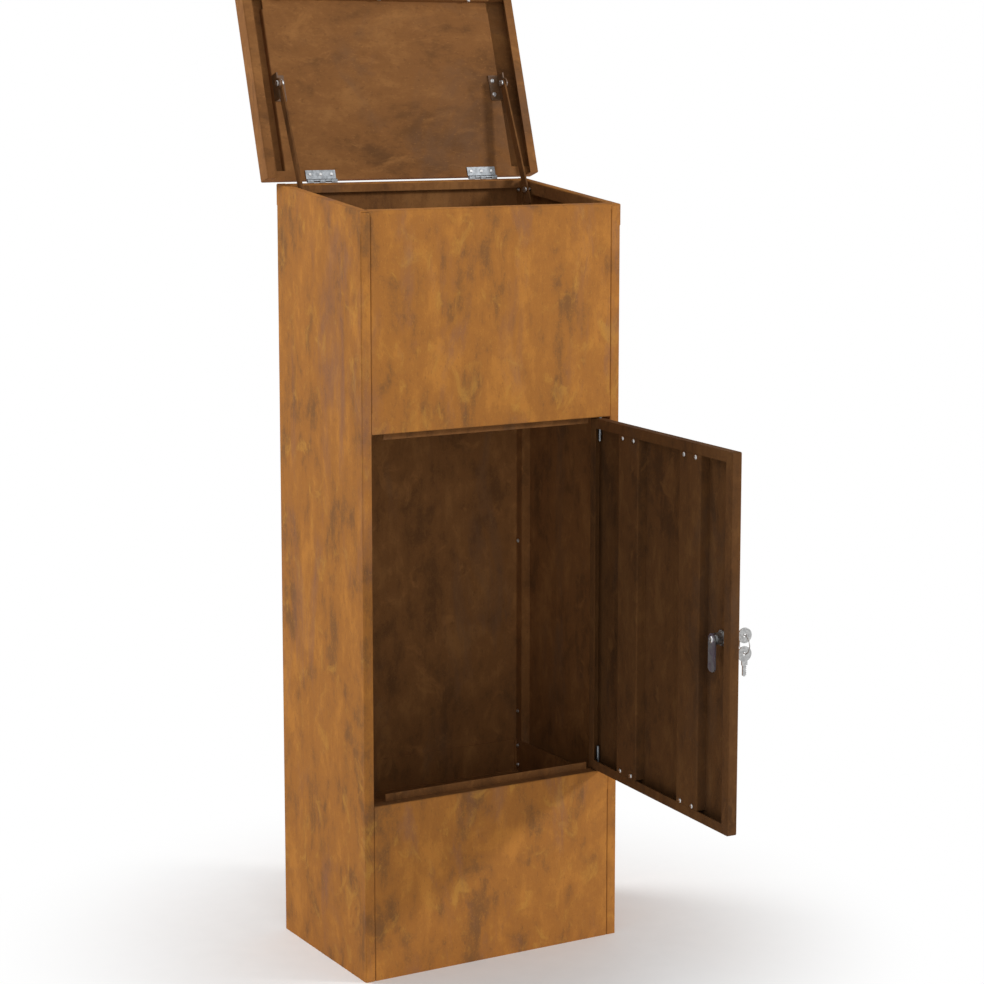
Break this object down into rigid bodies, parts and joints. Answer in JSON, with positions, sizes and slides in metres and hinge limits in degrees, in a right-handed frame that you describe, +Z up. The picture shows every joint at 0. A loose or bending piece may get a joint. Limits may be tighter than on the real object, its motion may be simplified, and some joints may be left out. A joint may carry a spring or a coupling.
{
  "type": "mailbox",
  "caption": "Free-standing rusty steel parcel mailbox with a sloping top, a rear-hinged lid propped on two stays and a lockable front door standing open.",
  "frame": {"origin": "centre of the cabinet's footprint on the ground, at the underside of the base tray", "axes": "+X to the right seen from the front, +Y towards the back, +Z up"},
  "size_m": [0.444, 0.7199, 1.3724],
  "materials": {
    "patina": "rust patina, orange-brown outside and dark brown inside",
    "dark_patina": "dark brown rust patina",
    "dark_steel": "dark blued steel",
    "zinc": "bright zinc plating",
    "nylon": "matt white"
  },
  "bodies": {
    "cabinet": {"left_side_panel": "patina", "right_side_panel": "patina", "back_panel": "patina", "upper_front_panel": "patina", "lower_front_panel": "patina", "floor_tray": "dark_patina", "base_tray": "dark_patina", "panel_screws": "zinc", "stay_studs": "zinc", "pivot_washer": "nylon", "left_hinge_fixed_leaf": "zinc", "right_hinge_fixed_leaf": "zinc", "hinge_pins": "zinc", "fixed_leaf_screws": "zinc"},
    "lid": {"left_hinge_lid_leaf": "zinc", "right_hinge_lid_leaf": "zinc", "lid_leaf_screws": "zinc", "lid_panel": "patina", "lid_liner": "patina", "lid_front_rail": "patina", "lid_rail_screws": "zinc", "left_stay_bracket": "dark_steel", "right_stay_bracket": "dark_steel", "bracket_screws": "zinc", "stay_bolts": "zinc", "stay_bolt_nuts": "zinc"},
    "left_stay": {"left_lid_stay": "dark_patina"},
    "right_stay": {"right_lid_stay": "dark_patina"},
    "door": {"door_panel": "patina", "hinge_side_stiffener": "dark_patina", "lock_side_stiffener": "dark_patina", "stiffener_screws": "zinc", "door_pivot_top": "zinc", "door_pivot_bottom": "zinc", "lock_body": "zinc", "lock_nut": "zinc"},
    "lock": {"lock_plug": "zinc", "lock_cam": "zinc", "cam_screw": "zinc", "key": "zinc"},
    "spare": {"key_ring": "zinc", "spare_key": "zinc"}
  },
  "joints": [
    {"name": "lid_hinge", "type": "hinge", "parent": "cabinet", "child": "lid", "pos_m": [0, 0.1327, 1.09659], "axis": [1, 0, 0], "range_deg": [0, 113.4]},
    {"name": "left_stay_pivot", "type": "hinge", "parent": "lid", "child": "left_stay", "pos_m": [-0.183, 0.16107, 1.23402], "axis": [1, 0, 0], "range_deg": [-70, 0]},
    {"name": "right_stay_pivot", "type": "hinge", "parent": "lid", "child": "right_stay", "pos_m": [0.183, 0.16107, 1.23402], "axis": [1, 0, 0], "range_deg": [-70, 0]},
    {"name": "door_hinge", "type": "hinge", "parent": "cabinet", "child": "door", "pos_m": [0.1771, -0.124, 0.508], "axis": [0, 0, 1], "range_deg": [-86.8, 40]},
    {"name": "lock_turn", "type": "hinge", "parent": "door", "child": "lock", "pos_m": [0.16483, -0.45103, 0.511], "axis": [-0.9984, 0.0558, 0], "range_deg": [0, 90]},
    {"name": "spare_key_swing", "type": "hinge", "parent": "lock", "child": "spare", "pos_m": [0.19678, -0.45281, 0.511], "axis": [0.0558, 0.9984, 0], "range_deg": [-25, 15]}
  ],
  "couplings": [
    {"joint": "left_stay_pivot", "follows": "lid_hinge", "ratio": -0.613},
    {"joint": "right_stay_pivot", "follows": "lid_hinge", "ratio": -0.613}
  ]
}
